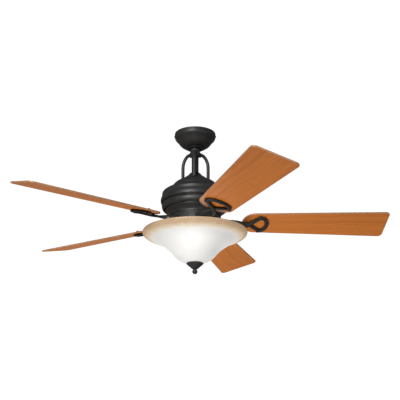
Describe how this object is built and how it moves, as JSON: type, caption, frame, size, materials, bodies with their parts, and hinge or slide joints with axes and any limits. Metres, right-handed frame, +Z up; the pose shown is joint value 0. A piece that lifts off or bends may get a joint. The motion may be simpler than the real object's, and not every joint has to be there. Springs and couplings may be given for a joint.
{
  "type": "ceiling fan with light",
  "caption": "Ceiling fan on a short downrod, with wide pitched wood blades on looped irons, a ribbed motor housing and a flared glass bowl light held by a finial.",
  "frame": {"origin": "centre of the hanger bracket's flat top, which meets the ceiling", "axes": "+Z up along the motor's axis, into the ceiling; +X to the fan's right; +Y towards its back"},
  "size_m": [1.2909, 1.3423, 0.54],
  "materials": {
    "black_metal": "satin black powder coat on steel",
    "blade_wood": "cherry veneer with a satin lacquer and darker edges",
    "etched_glass": "etched glass, white at the bottom and tea-stained towards the rim",
    "bulb_glass": "soft white lamp glass",
    "zinc_steel": "zinc-plated steel",
    "lamination": "stacked steel laminations",
    "copper": "enamelled copper wire",
    "nylon": "natural nylon",
    "black_plastic": "moulded black plastic",
    "porcelain": "glazed porcelain",
    "rubber": "soft rubber"
  },
  "bodies": {
    "mount": {"hanger_bracket": "zinc_steel", "bracket_screw_left": "zinc_steel", "bracket_screw_right": "zinc_steel", "canopy": "black_metal", "canopy_ring": "black_metal", "canopy_screw_left": "black_metal", "canopy_screw_right": "black_metal", "receiver_box": "black_plastic"},
    "liner": {"socket_liner": "nylon"},
    "hanging": {"ball_pin": "zinc_steel", "bulb_1": "bulb_glass", "bulb_2": "bulb_glass", "bulb_3": "bulb_glass", "capacitor": "black_plastic", "centre_rod": "zinc_steel", "coupling_cover": "black_metal", "downrod": "black_metal", "hanger_ball": "nylon", "housing_band": "black_metal", "housing_dome": "black_metal", "housing_skirt": "black_metal", "lamp_socket_1": "porcelain", "lamp_socket_2": "porcelain", "lamp_socket_3": "porcelain", "light_fitter": "black_metal", "motor_shaft": "zinc_steel", "motor_yoke": "zinc_steel", "reverse_switch_base": "black_plastic", "rod_collar": "black_metal", "scroll_arm_1": "black_metal", "scroll_arm_2": "black_metal", "scroll_arm_3": "black_metal", "stator_core": "lamination", "switch_housing": "black_metal", "winding_lower": "copper", "winding_upper": "copper", "yoke_pin": "zinc_steel"},
    "rotor": {"rotor_case_lower": "black_metal", "rotor_case_upper": "black_metal", "rotor_ring": "lamination", "upper_bearing": "zinc_steel", "lower_bearing": "zinc_steel", "blade_iron_1": "black_metal", "blade_iron_2": "black_metal", "blade_iron_3": "black_metal", "blade_iron_4": "black_metal", "blade_iron_5": "black_metal", "blade_1": "blade_wood", "blade_2": "blade_wood", "blade_3": "blade_wood", "blade_4": "blade_wood", "blade_5": "blade_wood"},
    "reverse_slider": {"reverse_slider": "black_plastic"},
    "bowl": {"glass_bowl": "etched_glass", "bowl_washer": "rubber"},
    "finial": {"finial_cap": "black_metal", "finial_knob": "black_metal"}
  },
  "joints": [
    {"name": "swing_side", "type": "hinge", "parent": "mount", "child": "liner", "pos_m": [0, 0, -0.031], "axis": [0, 1, 0], "range_deg": [-3, 3]},
    {"name": "swing_front", "type": "hinge", "parent": "liner", "child": "hanging", "pos_m": [0, 0, -0.031], "axis": [1, 0, 0], "range_deg": [-3, 3]},
    {"name": "fan_spin", "type": "hinge", "parent": "hanging", "child": "rotor", "pos_m": [0, 0, -0.34], "axis": [0, 0, 1], "continuous": true},
    {"name": "reverse_switch", "type": "slide", "parent": "hanging", "child": "reverse_slider", "axis": [0, 1, 0], "range_m": [0, 0.008]},
    {"name": "bowl_lower", "type": "slide", "parent": "hanging", "child": "bowl", "axis": [0, 0, -1], "range_m": [0, 0.13]},
    {"name": "finial_turn", "type": "hinge", "parent": "bowl", "child": "finial", "pos_m": [0, 0, -0.5], "axis": [0, 0, 1], "range_deg": [0, 1080]}
  ]
}
